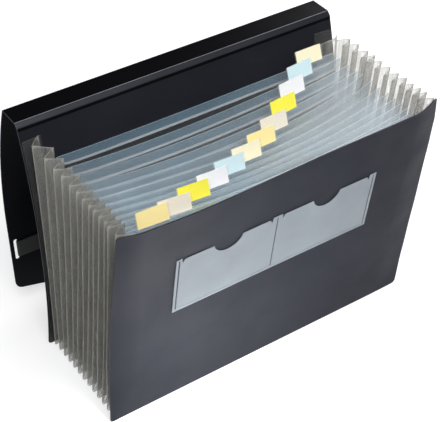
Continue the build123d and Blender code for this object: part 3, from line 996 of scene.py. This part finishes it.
def band_place(i, j, side):
    x, ahead = band_ring[j]
    before = Vector(band_ring[j - 1])
    after = Vector(band_ring[(j + 1) % len(band_ring)])
    run = (after - before).normalized()
    rolled = EDGE_ROLL if i in (0, len(band_across) - 1) else 0.5
    depth = ELASTIC_THICKNESS * rolled * (1 if side else -1)
    x, ahead = x - run[1] * depth, ahead + run[0] * depth
    up = band_across[i]
    y = hang_y(SLOT_Z) + HANG_FACING[0] * ahead + HANG_UP[0] * up
    return x, y, SLOT_Z + HANG_FACING[1] * ahead + HANG_UP[1] * up


shell = Shell()
shell.sheet(band_across, band_ring, band_place, loop=True)
closure_band = shell.piece("closure_band_elastic", [ELASTIC], "elastic")
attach(closure_band, "flap")
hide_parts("closure_band")

# Dividers' bows, which the pleats follow too


def divider_top(number):
    """Length of a divider's sheet from the floor to its top edge."""
    return MOUTH_HEIGHT / cos(lean_of(number)) - DIVIDER_DROP


def divider_bow(number, x, along):
    """How far a divider stands forward of its flat sheet between its sides."""
    share = x / DIVIDER_HALF
    ends = LEFT_STANDS[number - 1] * (1 - share) / 2 + RIGHT_STANDS[number - 1] * (1 + share) / 2
    rise = smooth((along - DIVIDER_BOTTOM) / (divider_top(number) - DIVIDER_BOTTOM)) ** BOW_POWER
    bow = BOWS[number - 1] + SWAYS[number - 1] * share
    return (ends + bow * max(0.0, 1 - share * share)) * rise


def divider_stand(number, x, along):
    """The bow, with the hem and the tab curling back."""
    top = divider_top(number)
    into = max(0.0, along - top + HEM_CURL_REACH)
    curl = HEM_CURL_SLOPE * into * into / (2 * HEM_CURL_REACH)
    if along > top:
        curl = HEM_CURL_SLOPE * (HEM_CURL_REACH / 2 + along - top)
    below = HEM_CURL_SLOPE * HEM_CURL_REACH / 2 * smooth(along / (top - HEM_CURL_REACH))
    return divider_bow(number, x, along) + (below - curl) * (1 - (x / DIVIDER_HALF) ** HEM_CURL_FADE)


# Gussets: each pleat rides on the sheet behind it


def body_of(sheet):
    """Body that a sheet belongs to."""
    if sheet == 0:
        return "front"
    return "back" if sheet == POCKETS else f"divider_{sheet:02d}"


def fold_y(sheet, side, z):
    """Where a pleat is fixed to a sheet's end at a height."""
    if sheet == POCKETS:
        along = z / cos(BACK_LEAN)
        return sheet_y(sheet, z) - back_bow(side * INNER_FOLD_X, along) - GUSSET_FILM / 2
    if sheet == 0:
        return sheet_y(sheet, z) - front_stand(side * INNER_FOLD_X, z) + FRONT_PLEAT_GAP
    along = z / cos(lean_of(sheet))
    return sheet_y(sheet, z) - DIVIDER_SHEET / 2 - divider_bow(sheet, side * DIVIDER_HALF, along)


# Shares of the way from a sheet to the fold, and from a pleat's foot to its top
PLEAT_SHARES = [0.0, 0.2, 0.4, 0.6, 0.8, 0.92]
PLEAT_LEVELS = [0.0, 0.02, 0.06, 0.14, 0.26, 0.4, 0.55, 0.7, 0.82, 0.92, 0.97, 1.0]


def pleat_section(front, rear, depth, bulge):
    """A pleat's cross-section as (out, y), from the front sheet to the fold and the rear sheet."""
    middle = (front + rear) / 2

    def wall(start, way):
        return [(depth * t, start + (middle - start) * t + way * bulge * sin(pi * t)) for t in PLEAT_SHARES]

    tip = FOLD_TIP * min(1.0, abs(rear - front) / FOLD_TIP_GAP)
    inner = depth - FOLD_TIP_DEPTH
    fold = [(inner, middle - tip), (depth, middle), (inner, middle + tip)]
    return wall(front, -1) + fold + wall(rear, 1)[::-1]


def thick(section, half):
    """A section moved to both sides by half the film's thickness."""
    faces = []
    for way in (half, -half):
        faces.append([(a + way * dx, b + way * dy) for (a, b), (dx, dy) in zip(section, right_of(section))])
    return faces


def side_pleat(pocket, side):
    """One pleat of a side gusset, mitred at its foot."""
    ripple = [chance.uniform(-1, 1) for _ in range(6)]
    top = MOUTH_HEIGHT - PLEAT_DROP + TOP_SCATTER * ripple[0] + (RIGHT_PLEAT_RISE if side > 0 else 0.0)
    fall = RIGHT_LAST_FALL if side > 0 else 0.0
    sections = {}

    def film_at(level):
        if level not in sections:
            share = level / MOUTH_HEIGHT
            wave = DEPTH_WAVE * share * (1 - share) * 4
            depth = PLEAT_DEPTH + DEPTH_SCATTER * ripple[1] * smooth(share * 3)
            depth += wave * ripple[2] * sin(5 * share + ripple[3])
            shift = FOLD_SCATTER * ripple[4] + FOLD_WAVE * ripple[5] * sin(7 * share)
            shift *= smooth(share * 4)
            front = fold_y(pocket, side, level)
            rear = fold_y(pocket + 1, side, level)
            section = pleat_section(front, rear, depth, PLEAT_BULGE + BULGE_GROWTH * (rear - front))
            moved = [(out, y + shift * min(1.0, out / PLEAT_DEPTH)) for out, y in section]
            sections[level] = thick(moved, GUSSET_FILM / 2)
        return sections[level]

    outs = [out for out, _ in pleat_section(0, 10, PLEAT_DEPTH, 0)]

    def place(i, j, face):
        out = outs[j]
        foot = INNER_FOLD_Z - out
        across = j / (len(outs) - 1) if pocket == POCKETS - 1 else 0.0
        high = top - LAST_PLEAT_FALL * across - fall * across ** 2
        level = round(foot + (high - foot) * PLEAT_LEVELS[i], 4)
        x, y = film_at(level)[face][j]
        return side * (INNER_FOLD_X + x), y, level

    def rim(i, j):
        return min((1 - PLEAT_LEVELS[i]) * top, PLEAT_DEPTH - outs[j], outs[j] + 0.2)

    pleat = Shell()
    pleat.sheet(PLEAT_LEVELS, outs, place, 0, 0, 1, rim=rim)
    name = "left" if side < 0 else "right"
    title = f"{name}_gusset_pleat_{pocket + 1:02d}"
    obj = pleat.piece(title, [GUSSET, GUSSET_EDGE], "frosted_film", sharp=60)
    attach(obj, body_of(pocket + 1))
    gap = (mouth_y(pocket + 1) - mouth_y(pocket)) * cos(lean_of(pocket + 1))
    flatten_to(obj, pocket + 1)
    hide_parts(f"{name}_gusset")


def floor_pleat(pocket):
    """One pleat of the bottom gusset, mitred to the sides."""
    front = fold_y(pocket, -1, INNER_FOLD_Z)
    rear = fold_y(pocket + 1, -1, INNER_FOLD_Z)
    faces = thick(pleat_section(front, rear, PLEAT_DEPTH, PLEAT_BULGE), GUSSET_FILM / 2)
    across = steps(-1, 1, 9)

    def place(i, j, face):
        down, y = faces[face][j]
        middle = pleat_section(0, 10, PLEAT_DEPTH, 0)[j][0]
        return across[i] * (INNER_FOLD_X + middle), y, INNER_FOLD_Z - down

    pleat = Shell()
    pleat.sheet(across, faces[0], place, 0, 0, 1)
    title = f"bottom_gusset_pleat_{pocket + 1:02d}"
    obj = pleat.piece(title, [GUSSET, GUSSET_EDGE], "frosted_film", sharp=60)
    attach(obj, body_of(pocket + 1))
    flatten_to(obj, pocket + 1)
    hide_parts("bottom_gusset")


for pocket in range(POCKETS):
    for side in (-1, 1):
        side_pleat(pocket, side)
    floor_pleat(pocket)


def flange(sheet, side, ahead):
    """Flat strip of a gusset, welded on a cover's inner face."""
    rows = rounded_rows(1.0, FLANGE_TOP, 0, FLANGE_CORNER, 24)
    across = steps(FLANGE_INNER_X, FLANGE_OUTER_X, 9)

    def place(i, j, face):
        along, inset = rows[i]
        x = side * (across[j] - (inset if j == len(across) - 1 else 0.0))
        if sheet == 0:
            stand = front_stand(x, along) - FLANGE_GAP - GUSSET_FILM * (1 - face)
            return on_sheet(0, x + edge_inset(x, along), along, stand)
        return on_sheet(POCKETS, x, along, back_bow(x, along) + FLANGE_GAP + GUSSET_FILM * face)

    def rim(i, j):
        return min(FLANGE_TOP - rows[i][0], across[j] - FLANGE_INNER_X + 1, FLANGE_OUTER_X - across[j])

    strip = Shell()
    strip.sheet(rows, across, place, 0, 0, 1, rim=rim)
    name = "left" if side < 0 else "right"
    cover = "front" if sheet == 0 else "back"
    obj = strip.piece(f"{name}_gusset_{cover}_flange", [WELDED, GUSSET_EDGE], "frosted_film")
    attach(obj, body_of(sheet))
    flatten_to(obj, sheet, ahead)
    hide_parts(f"{name}_gusset")


for side in (-1, 1):
    flange(0, side, SHEET)
    flange(POCKETS, side, -SHEET)

# Dividers


def make_divider(number):
    """One divider with its hem, weld and tongue, its card and the card's sleeve."""
    top = divider_top(number)
    low = DIVIDER_BOTTOM / cos(lean_of(number))
    columns = steps(-1, 1, 31)
    hem_low = top - HEM_HEIGHT
    body_rows = rounded_rows(low, top, 0, DIVIDER_CORNER, 18)
    hem_rows = rounded_rows(hem_low + HEM_WELD_WIDTH + 0.1, top, 0, DIVIDER_CORNER, 5)
    weld_steps = (0.4, HEM_WELD_WIDTH - 0.4, HEM_WELD_WIDTH)
    weld_rows = [(hem_low, 0.6)] + [(hem_low + up, 0.0) for up in weld_steps]

    def layer(rows, near, far):
        def place(i, j, side):
            along, inset = rows[i]
            x = columns[j] * (DIVIDER_HALF - inset)
            return on_sheet(number, x, along, divider_stand(number, x, along) + (far if side else near))
        return place

    def rim_of(rows):
        def rim(i, j):
            return max(0.0, top - rows[i][0])
        return rim

    sheet = Shell()
    hem_near = DIVIDER_SHEET + FILM_GAP
    hem_face = DIVIDER_SHEET + HEM_SHEET
    body_layer = layer(body_rows, 0, DIVIDER_SHEET)
    hem_layer = layer(hem_rows, hem_near, hem_face)
    weld_layer = layer(weld_rows, hem_near, hem_face + HEM_WELD_RISE)
    sheet.sheet(body_rows, columns, body_layer, 0, 0, 1, rim=rim_of(body_rows))
    sheet.sheet(hem_rows, columns, hem_layer, 1, 1, 2, rim=rim_of(hem_rows))
    sheet.sheet(weld_rows, columns, weld_layer, 2, 2, 2)

    middle = TAB_START + TAB_PITCH * (number - 1)
    card_low = top - CARD_SEAT
    card_top = card_low + CARD_HEIGHT
    card_columns = steps(-1, 1, 9)

    def on_hem(rows, half, near, far):
        def place(i, j, side):
            along, inset = rows[i]
            x = middle + card_columns[j] * (half - inset)
            bow = divider_stand(number, x, along)
            return on_sheet(number, x, along, bow + hem_face + (far if side else near))
        return place

    half = CARD_WIDTH / 2 + SLEEVE_RIM
    tongue_rows = rounded_rows(top + FILM_GAP, card_top, 0, SLEEVE_CORNER, 6)
    sheet.sheet(tongue_rows, card_columns, on_hem(tongue_rows, half, -HEM_SHEET, 0.0), 3, 3, 3)
    films = [DIVIDER, HEM, WELD, SLEEVE]
    made = {"divider": sheet.piece(f"divider_{number:02d}_film", films, "divider_film", sharp=60)}

    slot, finish = CARDS[(number - 1) % len(CARDS)]
    card_rows = rounded_rows(card_low, card_top, 0, CARD_CORNER, 5)
    card = Shell()
    card_layer = on_hem(card_rows, CARD_WIDTH / 2, CARD_GAP, CARD_GAP + CARD_SHEET)
    card.sheet(card_rows, card_columns, card_layer)
    made["index_card"] = card.piece(f"index_card_{number:02d}_stock", [finish], slot)

    sleeve_low = card_low - SLEEVE_RIM
    sleeve_rows = rounded_rows(sleeve_low, card_top, 0, SLEEVE_CORNER, 6)

    def sleeve_rim(i, j):
        along = sleeve_rows[i][0]
        return max(0.0, min(half * (1 - abs(card_columns[j])), along - sleeve_low, card_top - along))

    sleeve = Shell()
    sleeve_layer = on_hem(sleeve_rows, half, SLEEVE_NEAR, SLEEVE_FAR)
    sleeve.sheet(sleeve_rows, card_columns, sleeve_layer, rim=sleeve_rim)
    made["tab_sleeve"] = sleeve.piece(f"tab_sleeve_{number:02d}_film", [SLEEVE], "clear_film")
    for node, obj in made.items():
        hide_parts(f"{node}_{number:02d}")
        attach(obj, body_of(number))
        flatten_to(obj, number)


for number in range(1, POCKETS):
    make_divider(number)

# Floor, light and camera
FLOOR_SIZE = 30.0
FLOOR_LEVEL = -0.0003
FLOOR_SHADE = (0.6, 0.6, 0.61)
FLOOR_GLOW = 0.55
WORLD_SHADE = (0.93, 0.96, 1.0, 1.0)
WORLD_STRENGTH = 0.1


def floor_material():
    """Pale floor: it keeps the shadow and reads as white to the eye and in reflections."""
    n = Nodes("pale_floor")
    path = n.add("LightPath").outputs
    seen = n.maths("MAXIMUM", path["Is Camera Ray"], path["Is Glossy Ray"])
    seen = n.maths("MAXIMUM", seen, path["Is Transmission Ray"])
    glow = n.add("Emission", Color=(1.0, 1.0, 1.0), Strength=n.ranged(seen, 0.0, 1.0, 0.0, FLOOR_GLOW))
    both = n.add("AddShader")
    n.put(both.inputs[0], n.add("BsdfDiffuse", Color=FLOOR_SHADE).outputs[0])
    n.put(both.inputs[1], glow.outputs[0])
    return n.surface(both)


bm = bmesh.new()
bmesh.ops.create_grid(bm, x_segments=1, y_segments=1, size=FLOOR_SIZE)
bmesh.ops.translate(bm, verts=bm.verts, vec=(0, 0, FLOOR_LEVEL))
floor_mesh = bpy.data.meshes.new("floor")
bm.to_mesh(floor_mesh)
bm.free()
floor_mesh.materials.append(floor_material())
floor = bpy.data.objects.new("floor", floor_mesh)
scene.collection.objects.link(floor)
floor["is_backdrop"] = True

world = bpy.data.worlds.new("studio")
world.use_nodes = True
background = world.node_tree.nodes["Background"]
background.inputs["Color"].default_value = WORLD_SHADE
background.inputs["Strength"].default_value = WORLD_STRENGTH
scene.world = world


def softbox(name, place, aim, size, power, spread=180.0):
    """Soft lamp, in metres, watts and degrees."""
    lamp = bpy.data.lights.new(name, "AREA")
    lamp.shape = "RECTANGLE"
    lamp.size, lamp.size_y = size
    lamp.energy = power
    lamp.spread = radians(spread)
    obj = bpy.data.objects.new(name, lamp)
    obj.location = place
    obj.rotation_euler = (Vector(aim) - Vector(place)).to_track_quat("-Z", "Y").to_euler()
    scene.collection.objects.link(obj)


MIDDLE = (0.0, -0.05, 0.12)
softbox("key_softbox", (-0.25, -0.85, 1.35), MIDDLE, (1.4, 0.9), 27.0)
softbox("floor_softbox", (-0.1, -0.37, 0.33), (-0.08, -0.275, 0.0), (0.15, 0.15), 1.0, 50.0)
softbox("side_softbox", (1.0, 0.5, 0.3), (0.1, -0.05, 0.16), (0.8, 0.5), 12.0)
softbox("rear_softbox", (0.5, 0.25, 0.55), (0.18, -0.09, 0.21), (0.15, 0.15), 0.08, 30.0)

CAMERA_AT = Vector((-490.3, -765.5, 846.9)) * MM
AZIMUTH = radians(-34.29)
ELEVATION = radians(39.85)
ROLL = radians(0.37)
FOCAL_LENGTH = 100.3
SENSOR_WIDTH = 36.0
back = Vector((sin(AZIMUTH) * cos(ELEVATION), -cos(AZIMUTH) * cos(ELEVATION), sin(ELEVATION)))
level_right = Vector((cos(AZIMUTH), sin(AZIMUTH), 0.0))
level_up = back.cross(level_right)
right = level_right * cos(ROLL) + level_up * sin(ROLL)
up = level_up * cos(ROLL) - level_right * sin(ROLL)
lens = bpy.data.cameras.new("photo_camera")
lens.lens = FOCAL_LENGTH
lens.sensor_width = SENSOR_WIDTH
lens.clip_start = 0.05
camera = bpy.data.objects.new("photo_camera", lens)
camera.matrix_world = Matrix((right, up, back)).transposed().to_4x4()
camera.location = CAMERA_AT
scene.collection.objects.link(camera)
scene.camera = camera

scene.view_settings.view_transform = "Standard"
scene.cycles.transparent_max_bounces = 48

low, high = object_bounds()
sizes = {"cad": [list(cad_low), list(cad_high)], "visual": [list(low), list(high)]}
